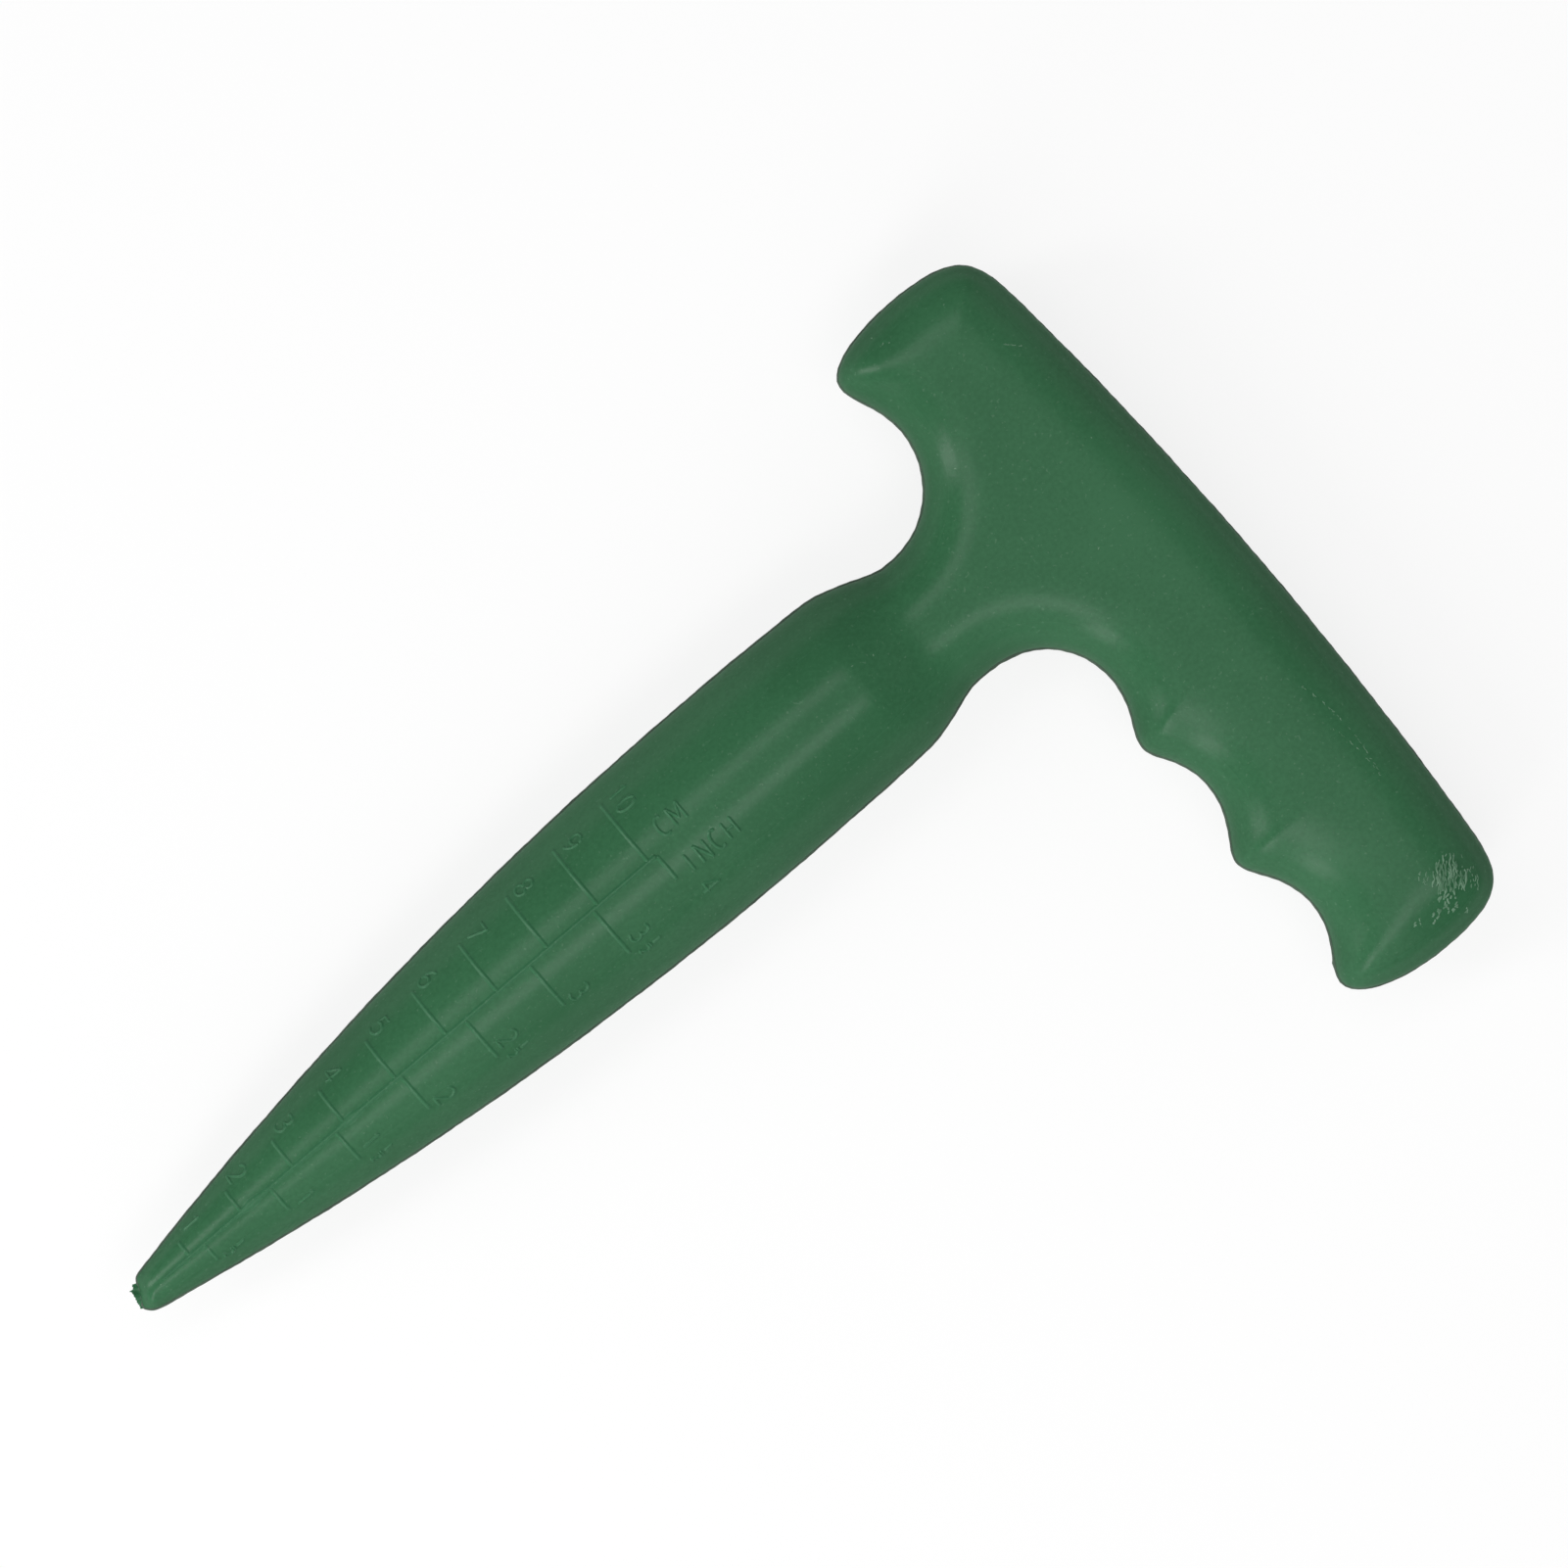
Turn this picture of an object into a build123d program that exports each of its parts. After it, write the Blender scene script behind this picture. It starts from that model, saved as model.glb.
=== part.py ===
from build123d import *
from math import sqrt
import os

# A seedling transplanter: a hollow T-handled dibber with a raised depth scale on its spike. It lies flat,
# the spike along X and the handle along Y. Two half shells meet in the plane of the T, with a bead between
# them. Millimetres.

# Whole tool
tool_length = 198.4  # nose to the crest of the palm edge
wall = 2.2

# Spike
spike_diameter = 29.7
nose_radius = 3.2
widest_setback = 38.2  # from the finger notches back to the widest section
shoulder_setback = 15.7  # from the finger notches back to where the shoulder starts to fall
shoulder_radius = 23.4
solid_tip = 12.0  # the nose is solid as far as this

# Handle
handle_thickness = 22.0
handle_depth = 31.5  # finger cusps to the crest of the palm edge
groove_depth = 3.7
neck_width = 21.9
notch_radius = 13.4  # the two notches beside the neck
groove_radius = 14.3  # the other finger grooves, on the long arm
groove_count = 2
groove_pitch = 22.0
short_overhang = 15.45  # from the notch centre to the end of the short arm
long_overhang = 18.25  # from the last groove's centre to the end of the long arm
palm_bow_radius = 594.0
end_bow_radius = 36.0
corner_radius = 8.8
horn_radius = 4.0
edge_roll = 8.0  # width of the rounded edge, seen from above

# Seam
bead_thickness = 0.5
flash_width = 0.3  # how far the trimmed bead stands out of the walls
stub_reach = 0.9  # ragged stub at the nose
stub_width = 3.0
stub_thickness = 1.2

# Locating pegs inside the shells
peg_diameter = 3.6
peg_length = 4.0
peg_clearance = 0.15
boss_wall = 1.55

# Depth scale
scale_zero = 1.0  # from the nose to the scale's zero
centimetre = 10.0
centimetre_ticks = 10
half_inch = 12.7
half_inch_ticks = 8
tick_width = 0.7
tick_height = 0.25
centimetre_tick_reach = 0.72  # share of the spike's half width that a tick crosses
half_inch_tick_reach = 0.6

# Places worked out from the sizes above, in the tool's own plane: x from the nose, y from the spike's axis
spike_radius = spike_diameter / 2
half_thickness = handle_thickness / 2
cusp_x = tool_length - handle_depth
crown_x = cusp_x + groove_depth
notch_x = crown_x - notch_radius
notch_y = neck_width / 2 + notch_radius
groove_x = crown_x - groove_radius
groove_ys = [-notch_y - groove_pitch * number for number in range(1, groove_count + 1)]
short_end = notch_y + short_overhang
long_end = groove_ys[-1] - long_overhang
handle_y = (short_end + long_end) / 2
handle_x = tool_length - handle_depth / 2
widest_x = notch_x - widest_setback
shoulder_x = notch_x - shoulder_setback
neck_start = notch_x - shoulder_setback / 2

# The spike's side is one arc, tangent to the nose and level where it is widest. A lean is how far along X an
# arc's end lies from its centre, as a share of the radius, and a rise is the same along Y.
ogive_run = widest_x - nose_radius
ogive_radius = (ogive_run**2 + spike_radius**2 - nose_radius**2) / (2 * (spike_radius - nose_radius))
ogive_drop = ogive_radius - spike_radius
nose_lean = ogive_run / (ogive_radius - nose_radius)
nose_rise = sqrt(1 - nose_lean**2)

# The shoulder is an arc tangent to the spike's side
shoulder_lean = (shoulder_x - widest_x) / ogive_radius
shoulder_rise = sqrt(1 - shoulder_lean**2)
shoulder_centre_x = shoulder_x - shoulder_radius * shoulder_lean
shoulder_centre_y = (ogive_radius - shoulder_radius) * shoulder_rise - ogive_drop

# Where an edge rolls over, the arc that goes from the seam up to the handle's flat face
roll_radius = (edge_roll**2 + half_thickness**2) / (2 * edge_roll)

# The origin is under the middle of the tool's box
tool = Plane(
    origin=((stub_reach - tool_length - flash_width) / 2, -handle_y, max(spike_radius, half_thickness))
)
side = Plane(origin=tool.origin, x_dir=(1, 0, 0), z_dir=(0, -1, 0))
spike_axis = Axis(tool.origin, (1, 0, 0))


def spike_half_width(x, inset=0.0):
    """Half width of the spike's side arc at x."""
    return sqrt((ogive_radius - inset) ** 2 - (x - widest_x) ** 2) - ogive_drop


def spike_form(inset, start):
    """The spike, turned about its axis and drawn in by inset from its skin: flat at start, or round-nosed."""
    reach = shoulder_radius - inset
    shoulder_top = (shoulder_centre_x + reach * shoulder_lean, shoulder_centre_y + reach * shoulder_rise)
    shoulder_end = (shoulder_centre_x + sqrt(reach**2 - shoulder_centre_y**2), 0)
    with BuildPart() as form:
        with BuildSketch(side):
            with BuildLine():
                if start > 0:
                    side_start = (start, spike_half_width(start, inset))
                    Line((start, 0), side_start)
                else:
                    round_radius = nose_radius - inset
                    side_start = (nose_radius - round_radius * nose_lean, round_radius * nose_rise)
                    RadiusArc((start, 0), side_start, round_radius)
                RadiusArc(side_start, shoulder_top, ogive_radius - inset)
                RadiusArc(shoulder_top, shoulder_end, reach)
                Line(shoulder_end, (start, 0))
            make_face()
        revolve(axis=spike_axis)
    return form.part


def handle_outline(inset, horn_round=0.0):
    """The handle seen from above, without its finger grooves: a bowed bar, trimmed by its round ends."""
    bar_reach = short_end - handle_y + corner_radius
    bar_bottom = handle_y - bar_reach
    bar_top = handle_y + bar_reach
    inside_x = cusp_x + inset
    palm_x = tool_length - palm_bow_radius + sqrt((palm_bow_radius - inset) ** 2 - bar_reach**2)
    with BuildSketch(tool) as outline:
        with BuildLine():
            Polyline((palm_x, bar_bottom), (inside_x, bar_bottom), (inside_x, bar_top), (palm_x, bar_top))
            ThreePointArc((palm_x, bar_top), (tool_length - inset, handle_y), (palm_x, bar_bottom))
        make_face()
        with Locations((handle_x, handle_y)):
            SlotOverall(
                short_end - long_end - 2 * inset,
                2 * (end_bow_radius - inset),
                rotation=90,
                mode=Mode.INTERSECT,
            )
        fillet(outline.vertices().group_by(Axis.X)[-1], radius=corner_radius - inset)
        if horn_round > 0:
            fillet(outline.vertices().group_by(Axis.X)[0], radius=horn_round)
    return outline.sketch


def cut_finger_notch(x, y, radius, inset, straight=0.0):
    """Cuts a round notch with rolled edges out of the current part, and runs it on towards the nose."""
    inward = -1 if y > 0 else 1
    flat = half_thickness - inset
    clear = flat + edge_roll
    top = radius + roll_radius - sqrt((roll_radius - inset) ** 2 - flat**2)
    centre = tool.from_local_coords((x, y, 0))
    with BuildSketch(Plane(origin=centre, x_dir=(0, inward, 0), z_dir=(inward, 0, 0))) as meridian:
        with BuildLine():
            Polyline((top, -flat), (top, -clear), (0, -clear), (0, clear), (top, clear), (top, flat))
            ThreePointArc((top, flat), (radius + inset, 0), (top, -flat))
        make_face()
    revolve(meridian.sketch, axis=Axis(centre, (0, 0, 1)), mode=Mode.SUBTRACT)
    if straight > 0:
        extrude(meridian.sketch, amount=straight, dir=(-1, 0, 0), mode=Mode.SUBTRACT)


def handle_form(inset):
    """The handle and its neck, drawn in from the skin by inset. Its horns are the finger side's corners."""
    flat = half_thickness - inset
    horn_round = horn_radius - inset / 2  # the wall is a little thicker inside a horn
    with BuildPart() as form:
        extrude(handle_outline(inset), amount=flat, both=True)
        rims = form.edges().filter_by(GeomType.CIRCLE).group_by(Axis.Z)
        fillet(rims[0] + rims[-1], radius=min(edge_roll, corner_radius) - inset)
        extrude(handle_outline(inset, horn_round), amount=flat, both=True, mode=Mode.INTERSECT)
        with BuildSketch(tool) as neck:
            with Locations((neck_start, 0)):
                Rectangle(crown_x + edge_roll - neck_start, 2 * notch_y, align=(Align.MIN, Align.CENTER))
        extrude(neck.sketch, amount=flat, both=True)
        for notch_side in (notch_y, -notch_y):
            cut_finger_notch(notch_x, notch_side, notch_radius, inset, straight=notch_x - neck_start)
        for groove_y in groove_ys:
            cut_finger_notch(groove_x, groove_y, groove_radius, inset)
    return form.part


def tool_form(inset, start):
    """Handle, neck and spike in one form, drawn in from the skin by inset."""
    handle = handle_form(inset)
    spike = spike_form(inset, start)
    with BuildPart() as form:
        add(handle)
        add(spike)
    return form.part


def depth_scale():
    """Raised lines on top of the spike: a centre line, centimetres to one side, half inches to the other."""
    line_start = scale_zero + centimetre / 2
    line_end = scale_zero + half_inch * half_inch_ticks
    scales = [
        (centimetre, centimetre_ticks, centimetre_tick_reach, Align.MIN),
        (half_inch, half_inch_ticks, half_inch_tick_reach, Align.MAX),
    ]
    with BuildPart() as scale:
        with BuildSketch(tool) as lines:
            with Locations((line_start, 0)):
                Rectangle(line_end - line_start, tick_width, align=(Align.MIN, Align.CENTER))
            for step, count, reach, across in scales:
                for number in range(1, count + 1):
                    x = scale_zero + step * number
                    with Locations((x, 0)):
                        Rectangle(tick_width, reach * spike_half_width(x), align=(Align.CENTER, across))
        extrude(lines.sketch, amount=spike_diameter)
        add(spike_form(-tick_height, -tick_height), mode=Mode.INTERSECT)
    return scale.part


skin = tool_form(0, 0)
cavity = tool_form(wall, solid_tip)
flash_skin = tool_form(-flash_width, -flash_width)
ticks = depth_scale()
rim_height = bead_thickness / 2

# Bosses stand on the inside of both shells and end at the seam
boss_places = [
    (widest_x / 2, 0),
    (widest_x, 0),
    (handle_x, notch_y),
    (handle_x, groove_ys[-1]),
]
with BuildPart() as bosses:
    with BuildSketch(tool) as boss_faces:
        with Locations(*boss_places):
            Circle(peg_diameter / 2 + peg_clearance + boss_wall)
    extrude(boss_faces.sketch, amount=spike_radius, both=True)
    add(skin, mode=Mode.INTERSECT)

with BuildPart() as front_shell:
    add(skin)
    add(ticks)
    add(cavity, mode=Mode.SUBTRACT)
    add(bosses.part)
    split(bisect_by=tool.offset(rim_height), keep=Keep.TOP)
    with BuildSketch(tool.offset(rim_height)) as sockets:
        with Locations(*boss_places):
            Circle(peg_diameter / 2 + peg_clearance)
    extrude(sockets.sketch, amount=peg_length + peg_clearance, mode=Mode.SUBTRACT)
front_shell.part.label = "front_shell"

with BuildPart() as rear_shell:
    add(skin)
    add(cavity, mode=Mode.SUBTRACT)
    add(bosses.part)
    split(bisect_by=tool.offset(-rim_height), keep=Keep.BOTTOM)
    with BuildSketch(tool.offset(-rim_height)) as pegs:
        with Locations(*boss_places):
            Circle(peg_diameter / 2)
    extrude(pegs.sketch, amount=bead_thickness + peg_length)
rear_shell.part.label = "rear_shell"

with BuildPart() as bead_layer:
    add(flash_skin)
    split(bisect_by=tool.offset(rim_height), keep=Keep.BOTTOM)
    split(bisect_by=tool.offset(-rim_height), keep=Keep.TOP)

with BuildPart() as seam_bead:
    with BuildSketch(tool) as stub_face:
        with BuildLine():
            Polyline(
                (nose_radius, stub_width / 2),
                (0, stub_width / 2),
                (-stub_reach, stub_width / 4),
                (-stub_reach, -stub_width / 4),
                (0, -stub_width / 2),
                (nose_radius, -stub_width / 2),
                close=True,
            )
        make_face()
    extrude(stub_face.sketch, amount=stub_thickness / 2, both=True)
    add(skin, mode=Mode.SUBTRACT)
    add(bead_layer.part)
    add(cavity, mode=Mode.SUBTRACT)
seam_bead.part.label = "seam_bead"

os.makedirs("parts", exist_ok=True)
for piece in (front_shell, rear_shell, seam_bead):
    export_step(piece.part, f"parts/{piece.part.label}.step")
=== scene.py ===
"""The looks of a moulded seedling transplanter: a pointed spike with a raised depth scale and a T handle.

Shapes are worked out in the tool's own plane, in millimetres: x runs from the nose along the spike,
y runs across it towards the handle's short arm, and z stands up from the seam between the two half shells.
"""

import math

import bmesh
import bpy
import numpy as np
from mathutils import Matrix, Vector


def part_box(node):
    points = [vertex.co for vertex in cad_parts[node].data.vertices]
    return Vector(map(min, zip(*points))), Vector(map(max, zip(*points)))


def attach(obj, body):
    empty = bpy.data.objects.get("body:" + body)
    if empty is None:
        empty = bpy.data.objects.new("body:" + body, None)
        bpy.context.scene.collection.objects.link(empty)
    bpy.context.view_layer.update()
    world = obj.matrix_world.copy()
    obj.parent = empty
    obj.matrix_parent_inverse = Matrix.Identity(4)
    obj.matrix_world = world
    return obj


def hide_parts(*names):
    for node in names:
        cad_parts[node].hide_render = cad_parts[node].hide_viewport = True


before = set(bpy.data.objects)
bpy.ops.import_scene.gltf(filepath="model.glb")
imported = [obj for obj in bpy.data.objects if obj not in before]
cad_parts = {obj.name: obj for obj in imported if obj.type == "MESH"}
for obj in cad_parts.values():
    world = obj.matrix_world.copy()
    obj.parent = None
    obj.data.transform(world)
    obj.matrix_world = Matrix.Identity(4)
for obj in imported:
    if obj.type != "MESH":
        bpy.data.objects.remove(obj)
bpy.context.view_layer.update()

MM = 0.001

# Spike: its half width and crest run from a round nose over one long bow to the shoulder and the neck
TOOL_LENGTH = 198.4
SPIKE_RADIUS = 14.81
WIDEST_X = 118.4
NOSE_RADIUS = 3.2
SHOULDER_X = 141.75
SHOULDER_RADIUS = 16.9
KNEE_X = 141.4
KNEE_SOFTNESS = 1.6
CONE_SLOPE = 0.28
SPIKE_END = 157.0
END_FALL = 4.0
ROUND_UNTIL = 121.4

# The nose is cut off slantwise, and the cut's edge is rounded
NOSE_CUT = (0.95, 0.45)
NOSE_CUT_TURN = math.radians(-27.6)
NOSE_CUT_ROLL = 2.6

# Handle: ends are (x, y, bow radius), dents are circles (x, y, radius, width of the roll beside it)
HANDLE_MIDDLE = -23.4
HALF_THICKNESS = 11.0
PALM_CREST = 198.5
PALM_BOW = 595.0
SHORT_END = (181.65, 39.84, 40.6)
LONG_END = (182.7, -86.6, 39.1)
LEAST_RISE = 0.05
FINGER_DENTS = (
    (156.73, 24.21, 13.56, 11.0),
    (157.55, -24.0, 12.54, 11.0),
    (158.47, -45.42, 12.14, 14.0),
    (158.74, -68.62, 12.18, 14.0),
)
NECK_ROOT = 130.0
EDGE_ROLL = 12.0

# A roll's own section, and how rolls run into one another: the lower the power, the softer
ROLL_POWER = 2.5
HORN_POWER = 4.0
CREASE_POWER = 5.43
CRISP_POWER = 20.0

# In square millimetres, like the form: how far spike and handle run into one another, and its least value
EDGE_BLEND = 153.0
CREST_BLEND = 32.0
LEAST_FORM = 0.1

# From the neck on, the section is fuller than the rolls alone would make it
FULLNESS = 0.36
FULL_FROM = 145.0
FULL_BY = 172.0

# Shell walls, and the bead in the seam: its waves are (pitch, phase), its lumps (x, y, height, spread)
WALL = 2.2
BEAD_HALF = 0.25
BEAD_PROUD = 0.32
BEAD_SEAT = 1.2
BEAD_POINTS = 12
BEAD_WAVER = 0.02
BEAD_WAVES = ((0.31, 0), (0.83, 1), (2.3, 2), (5.9, 4))
FLASH_LUMPS = (
    (141.3, -14.9, 0.3, 0.35),
    (142.3, -14.8, 0.15, 0.25),
    (157.9, -10.8, 0.12, 0.9),
    (161.0, -11.8, 0.16, 1.6),
    (168.1, -77.6, 0.25, 0.4),
)

# The outline is the bead's, so the skin lies inside it by as much as the bead stands proud
SKIN_INSET = BEAD_PROUD
SLAB_FORM = (HALF_THICKNESS - SKIN_INSET) ** 2

# Folded scrap of flash along the nose's cut: its reach at shares of the cut's half length
TAB_HALF_LENGTH = 2.0
TAB_REACH_AT = (-1.0, -0.5, 0.0, 0.3, 0.45, 0.62, 0.8, 1.0)
TAB_REACH = (0.1, 0.35, 0.55, 0.75, 1.15, 0.5, 0.55, 0.62)
TAB_SEAT = 0.7
TAB_THICKNESS = 0.4
TAB_END_POWER = 6
TAB_EDGE_POWER = 3
TAB_COLUMNS = 61
TAB_ROWS = 15

# Its waves: the fray of the edge, the sway along it, and folds that are (height, rate, phase)
TAB_FRAY = 0.05
TAB_FRAY_RATE = 31
TAB_SWAY = 0.12
TAB_SWAY_RATE = 5
TAB_CURL = 0.35
TAB_FOLDS = ((0.3, 3.4, 0.8), (0.12, 11, 0))

# Spine of the T, from which rays sweep the surface out to the edge, side by side and in fans at its ends
SPINE_X = 184.0
SPINE_END_GAP = 9.0
DENT_X = 157.0
DENT_Y = 24.35
FAN_REACH = 24.0
NOSE_REACH = 6.0
SPIKE_RAYS_END = 136.0
NECK_RAYS_START = 137.0
SPIKE_RAYS = 150
NECK_RAYS = 80
SHORT_ARM_RAYS = 70
LONG_ARM_RAYS = 190
HANDLE_END_RAYS = 60
NOSE_RAYS = 30

# The nose's two fans start half a step past the axis, in degrees, so that they meet evenly
NOSE_FAN_START = 181.5

# How finely surfaces and paths are worked out
HALVINGS = 45
SLOPE_STEP = 0.01
OUTER_ROWS = 46
INNER_ROWS = 10
PATH_STEP = 0.2
LEAST_PATH_POINTS = 8
MERGE_DISTANCE = 0.0005
SHARP_ANGLE = math.radians(50)

# Ridges, which make all marks on the skin, are sunk a little into it
RIDGE_SINK = 0.15
RIDGE_POINTS = 14

# Depth scale, raised on the spike; its marks drift a little along it, as the real ones do
SCALE_ZERO = 0.85
CENTIMETRE = 10.0
CENTIMETRE_COUNT = 10
HALF_INCH = 12.7
HALF_INCH_COUNT = 8
DRIFT = 1.0
DRIFT_RUN = 96.0

# Ticks reach shares of the spike's half width
TICK_WIDTH = 0.8
TICK_HEIGHT = 0.2
CENTIMETRE_TICK = 0.57
CENTIMETRE_TICK_GROWTH = 0.02
HALF_INCH_TICK = 0.6
LAST_HALF_INCH_TICK = 0.32

# Centre line, faint at its start and swollen where it is torn
SCALE_START = 5.6
CENTRE_LINE_WIDTH = 0.9
CENTRE_LINE_HEIGHT = 0.27
CENTRE_LINE_POINTS = 400
FAINT_UNTIL = 12.0
FAINTEST = 0.4
TORN_PLACES = (23.4, 42.9)
TORN_SPREAD = 1.4
TORN_SWELL = 0.9

# Numbers and unit marks in single strokes; numbers stand at shares of the spike's half width
DIGIT_HEIGHT = 3.15
DIGIT_PITCH = 2.1
DIGIT_PAST_TICK = 3.0
GLYPH_WIDTH = 0.7
GLYPH_MIDDLE = 0.5
ARC_POINTS = 15
STROKE_WIDTH = 0.62
STROKE_HEIGHT = 0.22
CENTIMETRE_DIGITS = 0.665
HALF_INCH_DIGITS = 0.57
WHOLE_SHIFT = 1.1
FRACTION_SHIFT = -1.2
FRACTION_HEIGHT = 1.5
FRACTION_STEP = 1.05
UNIT_HEIGHT = 3.1
CENTIMETRE_MARK = (105.6, 2.75)
CENTIMETRE_MARK_PITCH = 2.8
INCH_MARK = (105.2, -3.9)
INCH_MARK_PITCH = 2.6

# The scuff is an oval (x, y, half width, half length) along the rub, with wavy strands in its heart
RUB_HEADING = math.radians(-130.6)
SCUFF = (188.4, -78.2, 2.75, 3.1)
STRAND_SEED = 5
STRAND_COUNT = 11
STRAND_STEPS = 60
STRAND_WIDTH = 0.23
STRAND_HEIGHT = 0.12
STRAND_SPREAD = 0.92
STRAND_REACH = (0.55, 1.1)
STRAND_SHIFT = (-0.7, 0.5)
STRAND_STRAY = 0.05
STRAND_WAVE = 0.09
STRAND_WAVE_RATES = (1.9, 4.3)
STRAND_FRAY = 0.35
STRAND_FRAY_RATE = 7.1
STRAND_PHASES = (0, 6)

# Rubbed patches are (x, y, half width, half length, slivers, longest, stray of the heading, thickest)
RUBBED_PATCHES = (
    (*SCUFF, 34, 1.7, 0.15, 0.17),
    (189.4, -77.4, 3.4, 2.2, 24, 0.7, 0.3, 0.17),
    (185.6, -81.0, 1.7, 1.2, 24, 0.8, 0.5, 0.36),
    (183.0, -81.3, 0.7, 1.2, 10, 0.9, 0.6, 0.38),
    (187.2, -83.5, 0.4, 0.4, 4, 0.7, 0.8, 0.25),
    (180.5, -80.4, 0.5, 0.7, 5, 0.7, 0.8, 0.2),
    (185.1, -75.6, 0.9, 1.0, 9, 0.9, 0.4, 0.2),
    (191.1, -80.7, 0.8, 1.8, 12, 0.9, 0.3, 0.2),
)
SLIVER_SEED = 7
SLIVER_STEPS = 8
SLIVER_POINTS = 6
SLIVER_LENGTHS = (0.35, 1)
SLIVER_WIDTHS = (0.55, 1)
SLIVER_RISE = 0.55
SLIVER_BEND = 0.4

# Nicks, and scratches broken into nicks: first and last place, bow aside, number of nicks and their width
FLECK_SEED = 11
NICKS = (
    (186.7, 33.9), (175.6, 37.2), (176.2, 35.4), (177.0, 34.9), (141.9, 2.4), (145.3, 1.6),
    (190.4, 5.0), (180.6, -8.0), (193.0, -30.2), (172.3, 14.6), (5.0, -0.4),
)
NICK_WIDTH = 0.16
NICK_HEIGHT = 0.04
NICK_LENGTHS = (0.2, 0.5)
SCRATCHES = (
    ((189.5, 23.8), (191.6, 21.7), 0.0, 14, 0.12),
    ((189.9, -42.2), (190.4, -60.2), 1.2, 34, 0.08),
    ((189.2, -49.3), (190.3, -60.0), 0.5, 14, 0.08),
)
SCRATCH_STRAY = 0.05
SCRATCH_TURN = 0.3
SCRATCH_NICK_LENGTHS = (0.2, 0.6)

# The tool's plane is set on the frame by the front shell's box and the seam's height
shell_low, shell_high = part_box("front_shell")
bead_low, bead_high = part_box("seam_bead")
TOOL_ORIGIN = np.array([
    shell_high[0] / MM - TOOL_LENGTH,
    (shell_low[1] + shell_high[1]) / 2 / MM - HANDLE_MIDDLE,
    (bead_low[2] + bead_high[2]) / 2 / MM,
])


# The tool's form

def spike_profile(x):
    """Half width and crest height of the spike at x.

    Half width: a nose arc, one long bow past the widest place, then the shoulder's arc.
    Crest: the same, but past the knee it falls along a cone towards the neck.
    """
    run = WIDEST_X - NOSE_RADIUS
    bow = (run ** 2 + SPIKE_RADIUS ** 2 - NOSE_RADIUS ** 2) / (2 * (SPIKE_RADIUS - NOSE_RADIUS))
    bow_base = SPIKE_RADIUS - bow
    nose_end = NOSE_RADIUS * (1 - run / (bow - NOSE_RADIUS))
    nose = np.sqrt(np.maximum(NOSE_RADIUS ** 2 - (x - NOSE_RADIUS) ** 2, 0)) - np.maximum(-x, 0)
    long_bow = bow_base + np.sqrt(bow ** 2 - (x - WIDEST_X) ** 2)
    lean = (SHOULDER_X - WIDEST_X) / bow
    shoulder_middle = SHOULDER_X - SHOULDER_RADIUS * lean
    shoulder_base = bow_base + (bow - SHOULDER_RADIUS) * math.sqrt(1 - lean ** 2)
    shoulder = shoulder_base + np.sqrt(np.maximum(SHOULDER_RADIUS ** 2 - (x - shoulder_middle) ** 2, 0))
    past_knee = x - KNEE_X
    fall = CONE_SLOPE * (past_knee + np.sqrt(past_knee ** 2 + KNEE_SOFTNESS ** 2)) / 2
    half_width = np.where(x < nose_end, nose, np.where(x < SHOULDER_X, long_bow, shoulder))
    crest = np.where(x < nose_end, nose, long_bow - fall)
    return half_width, crest


def nose_roll(x, y):
    """How far the nose's slanted cut has rolled over: 1 on the cut, 0 from the roll's width behind it."""
    behind = (x - NOSE_CUT[0]) * math.cos(NOSE_CUT_TURN) + (y - NOSE_CUT[1]) * math.sin(NOSE_CUT_TURN)
    return np.maximum(1 - (behind - SKIN_INSET) / NOSE_CUT_ROLL, 0)


def spike_form(x, y):
    """Square of the spike's half thickness: that of its half width less that of y.

    Past the widest place it is stretched to the crest's height, and past its end it falls as a square.
    The nose's cut takes off the square of its roll.
    """
    half_width, crest = spike_profile(x)
    half_width = half_width - SKIN_INSET
    stretch = (crest - SKIN_INSET) / np.maximum(half_width, NOSE_RADIUS)
    round_spike = np.sign(half_width) * half_width ** 2 - y ** 2
    past_end = np.maximum(x - SPIKE_END, 0)
    spike = np.where(x < ROUND_UNTIL, round_spike, round_spike * stretch ** 2) - END_FALL * past_end ** 2
    return np.minimum(spike, np.maximum(spike, LEAST_FORM) * (1 - nose_roll(x, y) ** 2))


def handle_rolls(x, y):
    """How far each edge of the handle has rolled over: 1 on the edge, 0 from a roll's width inside it.

    The edges are the palm side, the two ends, the neck's root and the four finger dents.
    """
    def roll(distance, width):
        return np.maximum(1 - (distance - SKIN_INSET) / width, 0)

    yield roll(PALM_BOW - np.hypot(x - (PALM_CREST - PALM_BOW), y - HANDLE_MIDDLE), EDGE_ROLL)
    for (end_x, end_y, bow), side in ((SHORT_END, 1), (LONG_END, -1)):
        rise = np.sqrt(np.maximum(1 - ((x - end_x) / bow) ** 2, LEAST_RISE))
        yield roll((abs(end_y) - bow * (1 - rise) - side * y) * rise, EDGE_ROLL)
    yield roll(x - NECK_ROOT, EDGE_ROLL)
    for dent_x, dent_y, radius, width in FINGER_DENTS:
        yield roll(np.hypot(np.maximum(x - dent_x, 0), y - dent_y) - radius, width)


def merged_roll(rolls, power):
    """Several rolls as one: the root of the sum of their powers, softer where the power is low."""
    return sum(roll ** power for roll in rolls) ** (1 / power)


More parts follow.
